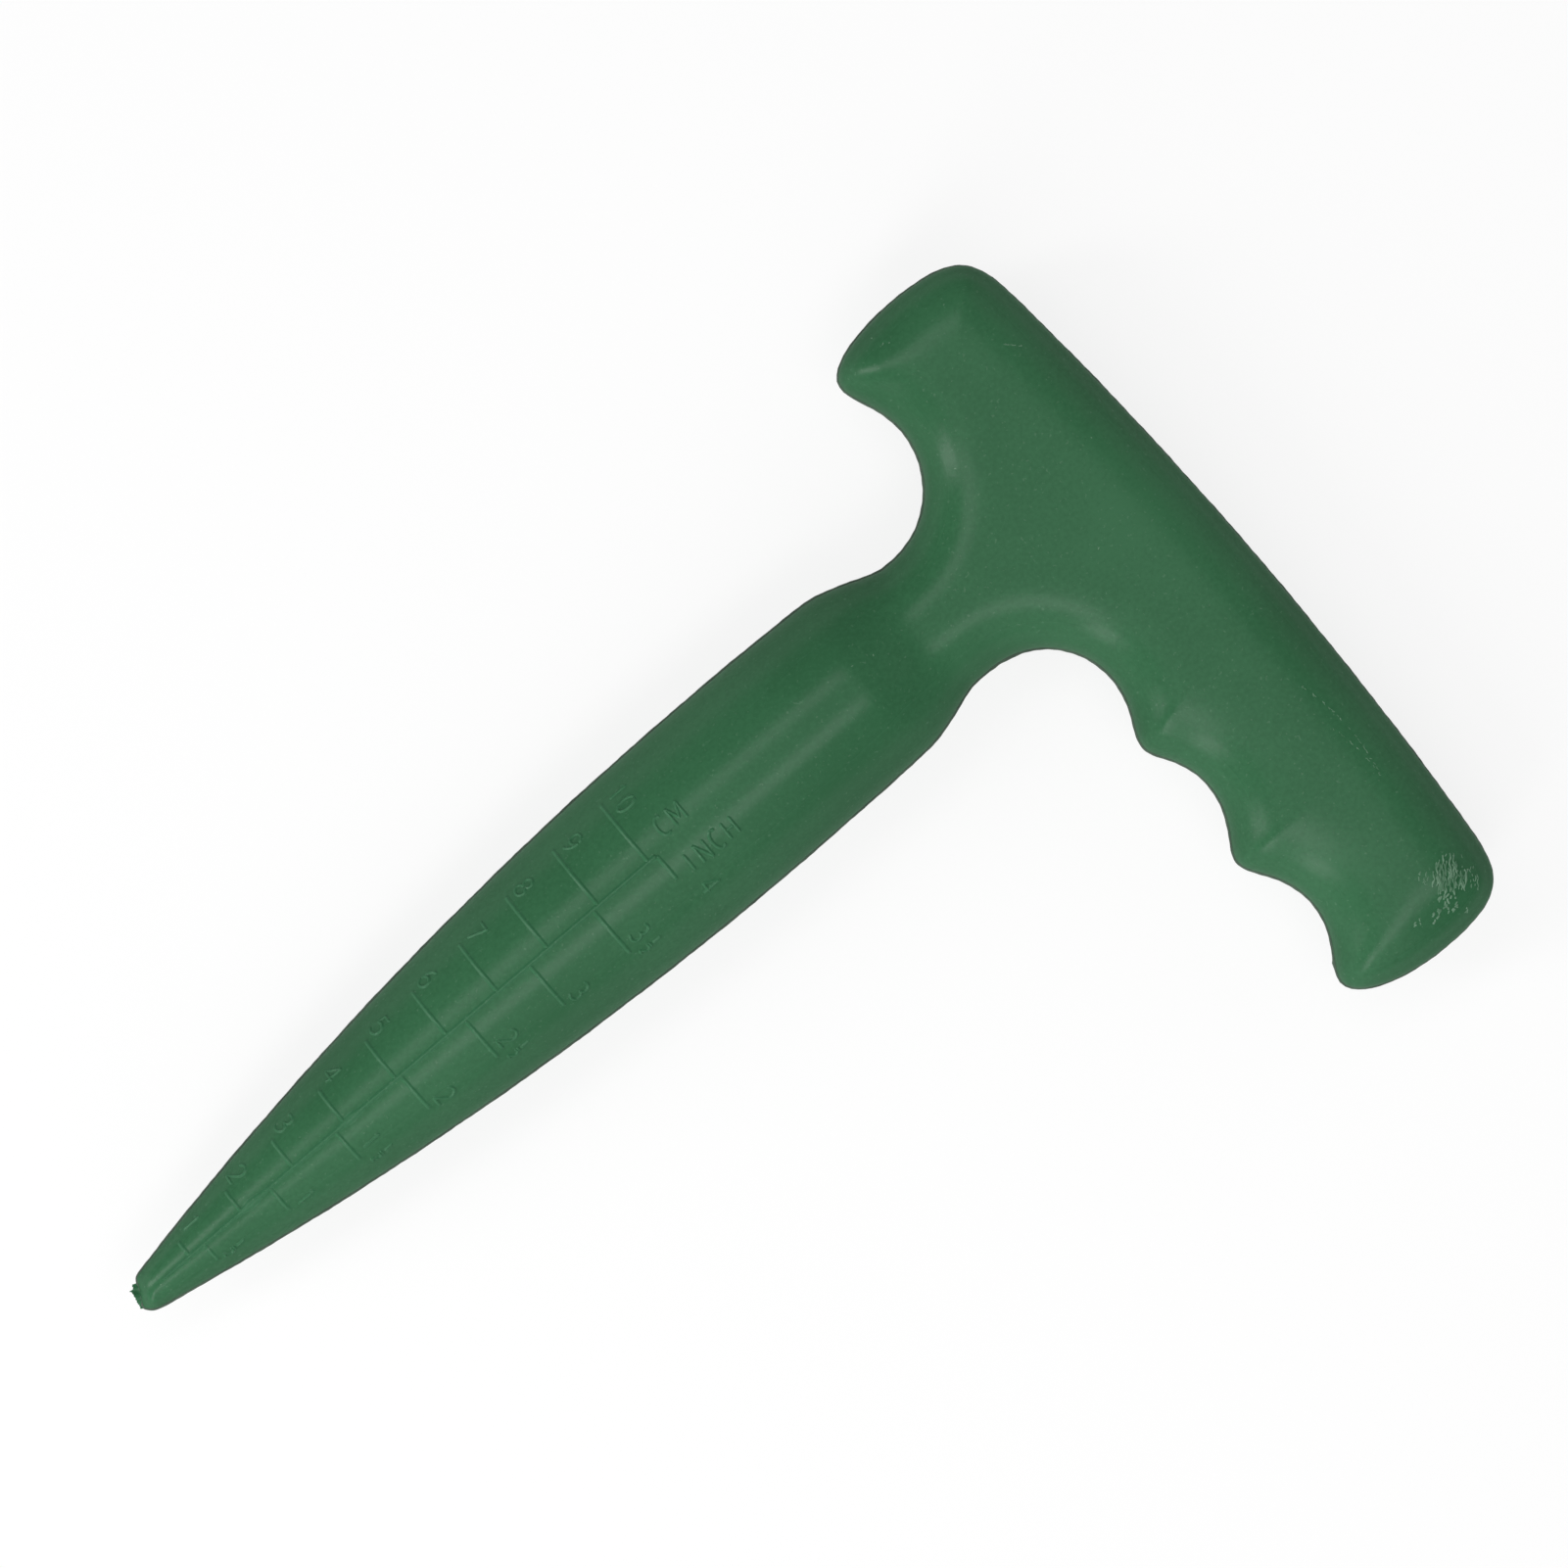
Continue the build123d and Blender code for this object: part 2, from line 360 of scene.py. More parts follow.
def handle_form(x, y):
    """Square of the handle's half thickness: that of a flat slab, less a power of its edges' merged roll.

    The rolls merge most softly at the two horns, softly at the edge and crisply inside it: the soft roll's
    share falls as its square.
    """
    palm, short_end, long_end, neck, *dents = handle_rolls(x, y)
    short_horn = merged_roll((short_end, dents[0]), HORN_POWER)
    long_horn = merged_roll((long_end, dents[-1]), HORN_POWER)
    rolls = (palm, neck, short_horn, long_horn, *dents[1:-1])
    soft = merged_roll(rolls, CREASE_POWER)
    crisp = merged_roll(rolls, CRISP_POWER)
    roll = crisp + (soft - crisp) * np.minimum(soft, 1) ** 2
    return SLAB_FORM * (1 - roll ** ROLL_POWER)


def smooth_maximum(first, second, blend):
    """The larger of two values, lifted where they come near each other by the cube of their nearness.

    Nearness is 1 where they are equal, and 0 from a blend apart.
    """
    nearness = np.maximum(1 - np.abs(first - second) / blend, 0)
    return np.maximum(first, second) + nearness ** 3 * blend / 6


def form(x, y):
    """Square of the half thickness over a point of the tool's plane, negative outside the skin's outline.

    Spike and handle are joined by a smooth maximum, which fills the neck's corners.
    Past the neck a power of the thickness makes the section fuller, with steeper sides.
    """
    handle = handle_form(x, y)
    blend = EDGE_BLEND + (CREST_BLEND - EDGE_BLEND) * np.clip(handle / SLAB_FORM, 0, 1)
    joined = smooth_maximum(spike_form(x, y), handle, blend)
    way = np.clip((x - FULL_FROM) / (FULL_BY - FULL_FROM), 0, 1)
    fullness = FULLNESS * way ** 2 * (3 - 2 * way)
    return joined * np.maximum(SLAB_FORM / np.maximum(joined, LEAST_FORM), 1) ** fullness


def slope(x, y):
    """Gradient of the form in the tool's plane, by a central difference."""
    along = (form(x + SLOPE_STEP, y) - form(x - SLOPE_STEP, y)) / (2 * SLOPE_STEP)
    across = (form(x, y + SLOPE_STEP) - form(x, y - SLOPE_STEP)) / (2 * SLOPE_STEP)
    return along, across


def surface_point(x, y):
    """Points of the upper skin over (x, y), as high as the form's root, with their outward normals."""
    z = np.sqrt(np.maximum(form(x, y), BEAD_HALF ** 2))
    along, across = slope(x, y)
    normals = np.stack([-along, -across, 2 * z], axis=-1)
    normals /= np.linalg.norm(normals, axis=-1, keepdims=True)
    return np.stack([x, y, z], axis=-1), normals


def outline_rays():
    """Feet on the T-shaped spine and aims past the edge, for rays that sweep once round the outline.

    Beside the spike and on the finger side they aim at lines through the two dents at the neck.
    """
    spike_feet = np.concatenate([
        np.linspace(NOSE_RADIUS, SPIKE_RAYS_END, SPIKE_RAYS),
        np.linspace(NECK_RAYS_START, SPINE_X, NECK_RAYS),
    ])
    short_tip = SHORT_END[1] - SPINE_END_GAP
    long_tip = LONG_END[1] + SPINE_END_GAP
    short_feet = np.linspace(0, short_tip, SHORT_ARM_RAYS)
    long_feet = np.linspace(0, long_tip, LONG_ARM_RAYS)

    def beside_spike(x, side):
        feet = np.stack([x, 0 * x], axis=-1)
        return feet, np.stack([np.minimum(x, DENT_X), side * DENT_Y + 0 * x], axis=-1)

    def finger_side(y, side):
        feet = np.stack([SPINE_X + 0 * y, y], axis=-1)
        return feet, np.stack([DENT_X + 0 * y, side * np.maximum(np.abs(y), DENT_Y)], axis=-1)

    def palm_side(y):
        feet = np.stack([SPINE_X + 0 * y, y], axis=-1)
        return feet, feet + (FAN_REACH, 0)

    def fan(x, y, first, last, count, reach):
        turn = np.radians(np.linspace(first, last, count + 2)[1:-1])
        feet = np.stack([x + 0 * turn, y + 0 * turn], axis=-1)
        return feet, feet + reach * np.stack([np.cos(turn), np.sin(turn)], axis=-1)

    stretches = [
        fan(NOSE_RADIUS, 0, NOSE_FAN_START, 90, NOSE_RAYS, NOSE_REACH),
        beside_spike(spike_feet, 1),
        finger_side(short_feet[1:], 1),
        fan(SPINE_X, short_tip, 180, 0, HANDLE_END_RAYS, FAN_REACH),
        palm_side(short_feet[::-1]),
        palm_side(long_feet[1:]),
        fan(SPINE_X, long_tip, 0, -180, HANDLE_END_RAYS, FAN_REACH),
        finger_side(long_feet[:0:-1], -1),
        beside_spike(spike_feet[::-1], -1),
        fan(NOSE_RADIUS, 0, -90, -NOSE_FAN_START, NOSE_RAYS, NOSE_REACH),
    ]
    return tuple(np.concatenate(part) for part in zip(*stretches))


def seam_edge():
    """Feet of the rays, and where each ray meets the seam's edge, found by halving it again and again."""
    feet, aims = outline_rays()
    near = np.zeros(len(feet))
    far = np.ones(len(feet))
    for _ in range(HALVINGS):
        share = (near + far) / 2
        point = feet + (aims - feet) * share[:, None]
        inside = form(point[:, 0], point[:, 1]) > BEAD_HALF ** 2
        near = np.where(inside, share, near)
        far = np.where(inside, far, share)
    return feet, feet + (aims - feet) * near[:, None]


# Meshes

def grid_faces(grid, closed_along, closed_around):
    """Quads between the neighbours in a grid of points, which may close on itself along or around it."""
    columns, rows = grid.shape[:2]
    column = np.arange(columns if closed_along else columns - 1)[:, None]
    row = np.arange(rows if closed_around else rows - 1)[None, :]
    after = (column + 1) % columns
    above = (row + 1) % rows
    corners = (column * rows + row, after * rows + row, after * rows + above, column * rows + above)
    return np.stack(np.broadcast_arrays(*corners), axis=-1).reshape(-1, 4)


def join(surfaces):
    """Points and faces of several surfaces as one."""
    counts = [len(points.reshape(-1, 3)) for points, _ in surfaces]
    starts = np.concatenate([[0], np.cumsum(counts)[:-1]])
    points = np.concatenate([points.reshape(-1, 3) for points, _ in surfaces])
    return points, np.concatenate([faces + start for (_, faces), start in zip(surfaces, starts)])


def make_piece(name, points, faces, material):
    """A piece from points in the tool's plane: doubles merged, faces outwards, smooth but for sharp edges.

    The attribute upright is the height of each point's unit normal: 1 on level skin, 0 on a standing side.
    """
    mesh = bpy.data.meshes.new(name)
    places = (points.reshape(-1, 3) + TOOL_ORIGIN) * MM
    mesh.from_pydata(places.tolist(), [], faces.tolist())
    work = bmesh.new()
    work.from_mesh(mesh)
    bmesh.ops.remove_doubles(work, verts=work.verts, dist=MERGE_DISTANCE * MM)
    bmesh.ops.dissolve_degenerate(work, edges=work.edges, dist=MERGE_DISTANCE * MM)
    bmesh.ops.recalc_face_normals(work, faces=work.faces)
    work.to_mesh(mesh)
    work.free()
    mesh.shade_smooth()
    mesh.set_sharp_from_angle(angle=SHARP_ANGLE)
    mesh.materials.append(material)
    normals = np.empty(len(mesh.vertices) * 3, np.float32)
    mesh.vertices.foreach_get("normal", normals)
    mesh.attributes.new("upright", "FLOAT", "POINT").data.foreach_set("value", np.abs(normals[2::3]))
    piece = bpy.data.objects.new(name, mesh)
    bpy.context.scene.collection.objects.link(piece)
    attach(piece, "root")
    return piece


# Half shells

def shell_points(side):
    """One half shell: each ray's outer curve from spine to rim, then the inner wall back to the spine.

    Rows crowd towards the rim as a sine does. The inner wall is the outer one moved in by its thickness.
    """
    feet, edges = seam_edge()

    def skin(rows):
        share = np.sin(np.linspace(0, math.pi / 2, rows + 1))[None, :, None]
        flat = feet[:, None, :] * (1 - share) + edges[:, None, :] * share
        return surface_point(flat[..., 0], flat[..., 1])

    outer, _ = skin(OUTER_ROWS)
    inner, normals = skin(INNER_ROWS)
    inner = inner - WALL * normals
    inner[..., 2] = np.maximum(inner[..., 2], BEAD_HALF)
    points = np.concatenate([outer, inner[:, ::-1]], axis=1)
    return points * (1, 1, side)


def make_shell(node, side, material):
    """A half shell as one closed skin, above the seam or, with its heights reversed, below it."""
    points = shell_points(side)
    faces = grid_faces(points, closed_along=True, closed_around=False)
    piece = make_piece(node + "_skin", points, faces, material)
    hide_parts(node)


# Seam bead

def make_bead(material):
    """Bead in the seam: a flat lens carried round the outline.

    It stands proud by a little, which wavers as a sum of sines along it and swells in bells at its lumps.
    """
    _, edges = seam_edge()
    along, across = slope(edges[:, 0], edges[:, 1])
    outward = -np.stack([along, across], axis=-1)
    outward /= np.linalg.norm(outward, axis=-1, keepdims=True)
    steps = np.linalg.norm(np.diff(edges, axis=0, append=edges[:1]), axis=-1)
    travel = np.cumsum(steps)
    proud = BEAD_PROUD + BEAD_WAVER * sum(np.sin(travel / pitch + phase) for pitch, phase in BEAD_WAVES)
    for lump_x, lump_y, height, spread in FLASH_LUMPS:
        far = np.hypot(edges[:, 0] - lump_x, edges[:, 1] - lump_y)
        proud += height * np.exp(-(far / spread) ** 2)
    turn = np.linspace(0, 2 * math.pi, BEAD_POINTS, endpoint=False)
    out = np.where(np.cos(turn) > 0, proud[:, None] * np.cos(turn), BEAD_SEAT * np.cos(turn))
    flat = edges[:, None, :] + outward[:, None, :] * out[..., None]
    rise = np.broadcast_to(BEAD_HALF * np.sin(turn), out.shape)
    points = np.concatenate([flat, rise[..., None]], axis=-1)
    faces = grid_faces(points, closed_along=True, closed_around=True)
    piece = make_piece("seam_bead_flash", points, faces, material)
    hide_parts("seam_bead")


def make_nose_tab(material):
    """Folded scrap of flash at the nose: a lens along the slanted cut, with a ragged outer edge.

    It curls up as the square of the way out, more or less along its folds, which are sines.
    """
    along = np.linspace(-1, 1, TAB_COLUMNS)[:, None]
    out = np.linspace(0, 1, TAB_ROWS)[None, :]
    reach = np.interp(along, TAB_REACH_AT, TAB_REACH) + TAB_FRAY * np.sin(TAB_FRAY_RATE * along)
    ahead = out * (reach + TAB_SEAT) - TAB_SEAT
    aside = TAB_HALF_LENGTH * along + TAB_SWAY * out * np.sin(TAB_SWAY_RATE * along)
    x = NOSE_CUT[0] - ahead * math.cos(NOSE_CUT_TURN) - aside * math.sin(NOSE_CUT_TURN)
    y = NOSE_CUT[1] - ahead * math.sin(NOSE_CUT_TURN) + aside * math.cos(NOSE_CUT_TURN)
    folds = (height * np.sin(rate * along + phase) for height, rate, phase in TAB_FOLDS)
    curl = out ** 2 * sum(folds, TAB_CURL)
    rounding = (1 - along ** TAB_END_POWER) * (1 - out ** TAB_EDGE_POWER)
    thick = TAB_THICKNESS * np.sqrt(np.maximum(rounding, 0))
    upper = np.stack(np.broadcast_arrays(x, y, curl + thick / 2), axis=-1)
    lower = np.stack(np.broadcast_arrays(x, y, curl - thick / 2), axis=-1)
    points = np.concatenate([upper, lower[:, ::-1]], axis=1)
    faces = grid_faces(points, closed_along=False, closed_around=True)
    make_piece("nose_tab", points, faces, material)


# Ridges

def ridge(path, width, height, around=RIDGE_POINTS):
    """A low ridge along a path on the skin, with round, closed ends.

    Above the skin its section is a cosine wave from trough to trough, below it a sunk half of an ellipse.
    The width may be one number or one for each point of the path.
    """
    base, normals = surface_point(path[:, 0], path[:, 1])
    tangents = np.gradient(base, axis=0)
    across = np.cross(normals, tangents)
    across /= np.linalg.norm(across, axis=-1, keepdims=True)
    travel = np.concatenate([[0], np.cumsum(np.linalg.norm(np.diff(base, axis=0), axis=-1))])
    end_gap = np.minimum(travel, travel[-1] - travel) / (np.mean(width) / 2)
    swell = np.sqrt(1 - (1 - np.minimum(end_gap, 1)) ** 2)
    turn = np.linspace(0, 2 * math.pi, around, endpoint=False)
    bell = height * (1 + np.cos(math.pi * np.cos(turn))) / 2
    rise = np.where(np.sin(turn) > 0, bell, RIDGE_SINK * np.sin(turn))
    aside = (np.broadcast_to(width, swell.shape) / 2 * swell)[:, None] * np.cos(turn)
    up = swell[:, None] * rise
    points = base[:, None, :] + across[:, None, :] * aside[..., None] + normals[:, None, :] * up[..., None]
    return points, grid_faces(points, closed_along=False, closed_around=True)


def dense(points):
    """A path through the given points, with more points between them about a step apart."""
    points = np.asarray(points, float)
    travel = np.concatenate([[0], np.cumsum(np.linalg.norm(np.diff(points, axis=0), axis=-1))])
    count = max(LEAST_PATH_POINTS, int(travel[-1] / PATH_STEP))
    places = np.unique(np.concatenate([travel, np.linspace(0, travel[-1], count)]))
    return np.stack([np.interp(places, travel, way) for way in points.T], axis=-1)


def make_ridges(name, ridges, material):
    """Many ridges as one piece."""
    points, faces = join(list(ridges))
    make_piece(name, points, faces, material)


# Depth scale

def drifted(x):
    """Place of a mark that should stand at x: further along by half a sine wave over the scale's run."""
    return x + DRIFT * math.sin(math.pi * x / DRIFT_RUN)


def centimetre_x(number):
    """Place of a centimetre's tick."""
    return drifted(SCALE_ZERO + CENTIMETRE * number)


def half_inch_x(number):
    """Place of a half inch's tick."""
    return drifted(SCALE_ZERO + HALF_INCH * number)


def half_width_at(x):
    """Half width of the spike at one place, as a plain number."""
    return float(spike_profile(np.array(x))[0])


def scale_lines():
    """Centre line, centimetre ticks on the short arm's side and half-inch ticks on the other.

    The centre line grows out of a faint start and swells in a bell at each torn place.
    The centimetre ticks reach a growing share of the half width, the last half-inch tick a small one.
    """
    x = np.linspace(SCALE_START, half_inch_x(HALF_INCH_COUNT), CENTRE_LINE_POINTS)
    torn = sum(np.exp(-((x - place) / TORN_SPREAD) ** 2) for place in TORN_PLACES)
    faint = np.clip(x / FAINT_UNTIL, FAINTEST, 1)
    width = CENTRE_LINE_WIDTH * faint * (1 + TORN_SWELL * torn)
    yield ridge(np.stack([x, 0 * x], axis=-1), width, CENTRE_LINE_HEIGHT)

    def tick(place, share):
        return ridge(dense(((place, 0), (place, half_width_at(place) * share))), TICK_WIDTH, TICK_HEIGHT)

    for number in range(1, CENTIMETRE_COUNT + 1):
        yield tick(centimetre_x(number), CENTIMETRE_TICK + CENTIMETRE_TICK_GROWTH * number)
    for number in range(1, HALF_INCH_COUNT + 1):
        share = LAST_HALF_INCH_TICK if number == HALF_INCH_COUNT else HALF_INCH_TICK
        yield tick(half_inch_x(number), -share)


def arc(middle_x, middle_y, wide, high, first, last):
    """Points on an ellipse between two angles, in a glyph's unit square."""
    turn = np.radians(np.linspace(first, last, ARC_POINTS))
    return np.stack([middle_x + wide * np.cos(turn), middle_y + high * np.sin(turn)], axis=-1)


# Strokes of each glyph in its unit square, as corners and arcs
GLYPHS = {
    "0": [arc(0.5, 0.5, 0.3, 0.5, 90, 450)],
    "1": [((0.3, 0.8), (0.5, 1), (0.5, 0))],
    "2": [np.vstack([arc(0.5, 0.7, 0.32, 0.3, 165, -35), ((0.16, 0), (0.86, 0))])],
    "3": [np.vstack([arc(0.46, 0.76, 0.28, 0.24, 150, -85), arc(0.46, 0.27, 0.34, 0.27, 85, -150)])],
    "4": [((0.64, 0), (0.64, 1), (0.1, 0.32), (0.9, 0.32))],
    "5": [np.vstack([((0.78, 1), (0.28, 1), (0.22, 0.56)), arc(0.47, 0.32, 0.33, 0.32, 120, -150)])],
    "6": [arc(0.72, 0.36, 0.52, 0.64, 95, 185), arc(0.5, 0.28, 0.3, 0.28, 180, -180)],
    "7": [((0.14, 1), (0.86, 1), (0.4, 0))],
    "8": [arc(0.5, 0.76, 0.25, 0.24, 270, -90), arc(0.5, 0.26, 0.32, 0.26, 90, 450)],
    "9": [arc(0.5, 0.7, 0.3, 0.3, 0, 360), arc(0.28, 0.64, 0.52, 0.64, 5, -85)],
    "C": [arc(0.55, 0.5, 0.4, 0.5, 50, 310)],
    "M": [((0.06, 0), (0.06, 1), (0.5, 0.3), (0.94, 1), (0.94, 0))],
    "I": [((0.5, 0), (0.5, 1))],
    "N": [((0.14, 0), (0.14, 1), (0.86, 0), (0.86, 1))],
    "H": [((0.14, 0), (0.14, 1)), ((0.86, 0), (0.86, 1)), ((0.14, 0.5), (0.86, 0.5))],
    "-": [((0.1, 0.5), (0.9, 0.5))],
}


def write(text, first, height, pitch, reading, upward):
    """Ridges of a row of glyphs, from the first one's middle on, along two directions in the plane."""
    first, reading, upward = (np.array(vector, float) for vector in (first, reading, upward))
    for place, letter in enumerate(text):
        middle = first + reading * pitch * place
        for stroke in GLYPHS[letter]:
            aside, up = (np.asarray(stroke, float) - GLYPH_MIDDLE).T[:, :, None] * height
            path = dense(middle + aside * GLYPH_WIDTH * reading + up * upward)
            yield ridge(path, STROKE_WIDTH, STROKE_HEIGHT)


def scale_numbers():
    """Centimetres in whole numbers, half inches with small stacked fractions; up is towards the handle."""
    def number_row(text, place, height):
        return write(text, place, height, DIGIT_PITCH, reading=(0, -1), upward=(1, 0))

    for number in range(1, CENTIMETRE_COUNT + 1):
        x = centimetre_x(number) + DIGIT_PAST_TICK
        text = str(number)
        y = CENTIMETRE_DIGITS * half_width_at(x) + DIGIT_PITCH * (len(text) - 1) / 2
        yield from number_row(text, (x, y), DIGIT_HEIGHT)
    for number in range(1, HALF_INCH_COUNT + 1):
        x = half_inch_x(number) + DIGIT_PAST_TICK
        y = -HALF_INCH_DIGITS * half_width_at(x)
        whole, half = divmod(number, 2)
        if whole:
            yield from number_row(str(whole), (x, y + WHOLE_SHIFT * half), DIGIT_HEIGHT)
        if half:
            aside = y + (FRACTION_SHIFT if whole else 0)
            for letter, lift in (("1", FRACTION_STEP), ("-", 0), ("2", -FRACTION_STEP)):
                yield from number_row(letter, (x + lift, aside), FRACTION_HEIGHT)


def unit_letters():
    """Plain unit marks past the end of the scale, reading towards the handle."""
    def mark(text, place, pitch):
        return write(text, place, UNIT_HEIGHT, pitch, reading=(1, 0), upward=(0, 1))

    yield from mark("CM", CENTIMETRE_MARK, CENTIMETRE_MARK_PITCH)
    yield from mark("INCH", INCH_MARK, INCH_MARK_PITCH)


# Wear

def headed(heading):
    """Unit directions along a heading and to its left, in the tool's plane."""
    along = np.array([math.cos(heading), math.sin(heading)])
    return along, np.array([-along[1], along[0]])


def scuff_strands():
    """Furrowed heart of the scuff: ridges side by side along the rub, each as long as its oval is there.

    Each sways as a sum of sines, and its width frays as another.
    """
    draw = np.random.default_rng(STRAND_SEED)
    x, y, half_width, half_length = SCUFF
    rub, aside = headed(RUB_HEADING)
    for offset in np.linspace(-STRAND_SPREAD, STRAND_SPREAD, STRAND_COUNT):
        reach = half_length * math.sqrt(1 - offset ** 2) * draw.uniform(*STRAND_REACH)
        along = draw.uniform(*STRAND_SHIFT) + np.linspace(-reach, reach, STRAND_STEPS)
        offset += draw.normal(0, STRAND_STRAY)
        wave = sum(np.sin(rate * along + draw.uniform(*STRAND_PHASES)) for rate in STRAND_WAVE_RATES)
        sway = offset * half_width + STRAND_WAVE * wave
        path = np.array([x, y]) + along[:, None] * rub + sway[:, None] * aside
        fray = 1 + STRAND_FRAY * np.sin(STRAND_FRAY_RATE * along + draw.uniform(*STRAND_PHASES))
        yield ridge(path, STRAND_WIDTH * fray, STRAND_HEIGHT)


def scuff_slivers():
    """Torn slivers where the plastic was rubbed: short parabolas of ridge, spread evenly over ovals."""
    draw = np.random.default_rng(SLIVER_SEED)
    share = np.linspace(-0.5, 0.5, SLIVER_STEPS)[:, None]
    for middle_x, middle_y, half_width, half_length, count, longest, stray, thickest in RUBBED_PATCHES:
        for _ in range(count):
            radius = math.sqrt(draw.uniform())
            angle = draw.uniform(0, 2 * math.pi)
            rub, aside = headed(RUB_HEADING + stray * draw.normal())
            spread = half_length * math.cos(angle) * rub + half_width * math.sin(angle) * aside
            middle = np.array([middle_x, middle_y]) + radius * spread
            length = longest * draw.uniform(*SLIVER_LENGTHS)
            bend = draw.normal(0, SLIVER_BEND)
            path = middle + length * (rub * share + aside * bend * share ** 2)
            width = thickest * draw.uniform(*SLIVER_WIDTHS)
            yield ridge(path, width, SLIVER_RISE * width, SLIVER_POINTS)


def flecks():
    """Scattered pale nicks, and fine scratches broken into nicks along a shallow parabola."""
    draw = np.random.default_rng(FLECK_SEED)

    def nick(place, heading, length, width):
        along, _ = headed(heading)
        half = length / 2 * along
        return ridge(dense((place - half, place + half)), width, NICK_HEIGHT, SLIVER_POINTS)

    for place in NICKS:
        heading = draw.uniform(0, math.pi)
        yield nick(np.array(place), heading, draw.uniform(*NICK_LENGTHS), NICK_WIDTH)
    for first, last, bow, count, width in SCRATCHES:
        run = np.subtract(last, first)
        straight = math.atan2(run[1], run[0])
        _, aside = headed(straight)
        for share in np.sort(draw.uniform(0, 1, count)):
            off = 4 * bow * share * (1 - share) + draw.normal(0, SCRATCH_STRAY)
            place = first + run * share + aside * off
            heading = straight + draw.normal(0, SCRATCH_TURN)
            yield nick(place, heading, draw.uniform(*SCRATCH_NICK_LENGTHS), width)


# Materials

# Colours, in linear light
GREEN_DARK = (0.030, 0.119, 0.052, 1)
GREEN_LIGHT = (0.038, 0.142, 0.064, 1)
RIDGE_DARK = (0.032, 0.128, 0.058, 1)
RIDGE_LIGHT = (0.040, 0.151, 0.070, 1)
# Painted shade: a darker green for the scuff's furrows, where shadow falls between its strands
FURROW_SHADE = (0.02, 0.085, 0.036, 1)
FLASH_DARK = (0.042, 0.078, 0.05, 1)
FLASH_LIGHT = (0.068, 0.115, 0.077, 1)
RUBBED_DARK = (0.08, 0.185, 0.105, 1)
RUBBED_LIGHT = (0.168, 0.292, 0.197, 1)

# Noise scales are counts to a metre, and a ramp gives the values between which a pattern comes in
DRIFT_SCALE = 38
GRAIN_SCALE = 1600
GRAIN_SHARE = 0.5
GRAIN_DEPTH = 0.04 * MM
GRAIN_STRENGTH = 0.5
TONE_RAMP = (0.35, 0.65)
SPECK_SCALE = 1900
SPECK_RAMP = (0.66, 0.78)
SPECK_SHARE = 0.2
FLASH_SCALE = 300
FLASH_RAMP = (0.3, 0.7)
RUBBED_SCALE = 900
RUBBED_RAMP = (0.3, 0.7)

# Painted shade in the scuff's furrows: a streak's length, width and depth, ramps of streak and rim, and
# the share of the darkest painted shade
STREAK_SIZES = (2.2, 0.32, HALF_THICKNESS)
STREAK_RAMP = (0.3, 0.55)
RIM_RAMP = (0.6, 1.15)
FURROW_SHADE_SHARE = 0.7

# Roughness is a level and a share of the drift; the green's steep sides are duller
GREEN_ROUGHNESS = (0.2, 0.08)
STEEP_DULLNESS = 0.5
LEVEL_RAMP = (0.45, 0.92)
FLASH_ROUGHNESS = (0.6, 0.1)
RUBBED_ROUGHNESS = (0.55, 0.2)
GREEN_SPECULAR = 0.16
RUBBED_SPECULAR = 0.2


class Socket:
    """A value in a material; arithmetic on it adds Math nodes."""

    def __init__(self, paint, socket):
        self.paint = paint
        self.socket = socket

    def math(self, operation, *operands):
        """A Math node's result, its operands in order."""
        return self.paint.node("ShaderNodeMath", {"operation": operation}, dict(enumerate(operands)))

    def __add__(self, other):
        return self.math("ADD", self, other)

    def __radd__(self, other):
        return self.math("ADD", other, self)

    def __sub__(self, other):
        return self.math("SUBTRACT", self, other)

    def __rsub__(self, other):
        return self.math("SUBTRACT", other, self)

    def __mul__(self, other):
        return self.math("MULTIPLY", self, other)

    def __rmul__(self, other):
        return self.math("MULTIPLY", other, self)

    def ramp(self, start, end):
        """0 below start, 1 above end, smooth between."""
        settings = {"interpolation_type": "SMOOTHSTEP"}
        return self.paint.node("ShaderNodeMapRange", settings, {0: self, 1: start, 2: end})


class Paint:
    """A material in the making."""

    def __init__(self, name):
        self.material = bpy.data.materials.new(name)
        self.material.use_nodes = True
        self.tree = self.material.node_tree
        self.tree.nodes.clear()
        self.place = self.node("ShaderNodeTexCoord", output="Object")

    def node(self, kind, settings=None, inputs=None, output=0):
        """Any node: its settings first, then the values or links of its sockets."""
        made = self.tree.nodes.new(kind)
        for key, value in (settings or {}).items():
            setattr(made, key, value)
        for key, value in (inputs or {}).items():
            if isinstance(value, Socket):
                self.tree.links.new(value.socket, made.inputs[key])
            else:
                made.inputs[key].default_value = value
        return Socket(self, made.outputs[output]) if made.outputs else None

    def noise(self, scale, detail, place=None):
        """A noise pattern on the object's own coordinates, or on a patch's."""
        inputs = {"Vector": place or self.place, "Scale": scale, "Detail": detail}
        return self.node("ShaderNodeTexNoise", None, inputs)

    def patch(self, x, y, heading, sizes):
        """Coordinates in a patch on the tool's upper side, turned to a heading and counted in sizes."""
        middle = (np.array([x, y, HALF_THICKNESS]) + TOOL_ORIGIN) * MM
        return self.node("ShaderNodeMapping", {"vector_type": "TEXTURE"}, {
            "Vector": self.place,
            "Location": middle,
            "Rotation": (0, 0, heading),
            "Scale": np.array(sizes) * MM,
        })

    def mix(self, share, first, second):
        """A colour between two colours, by the Mix node's own colour sockets."""
        return self.node("ShaderNodeMix", {"data_type": "RGBA"}, {0: share, 6: first, 7: second}, output=2)

    def finish(self, inputs):
        """The material, closed by one plastic shader with the given inputs."""
        shader = self.node("ShaderNodeBsdfPrincipled", None, inputs)
        self.node("ShaderNodeOutputMaterial", None, {"Surface": shader})
        return self.material


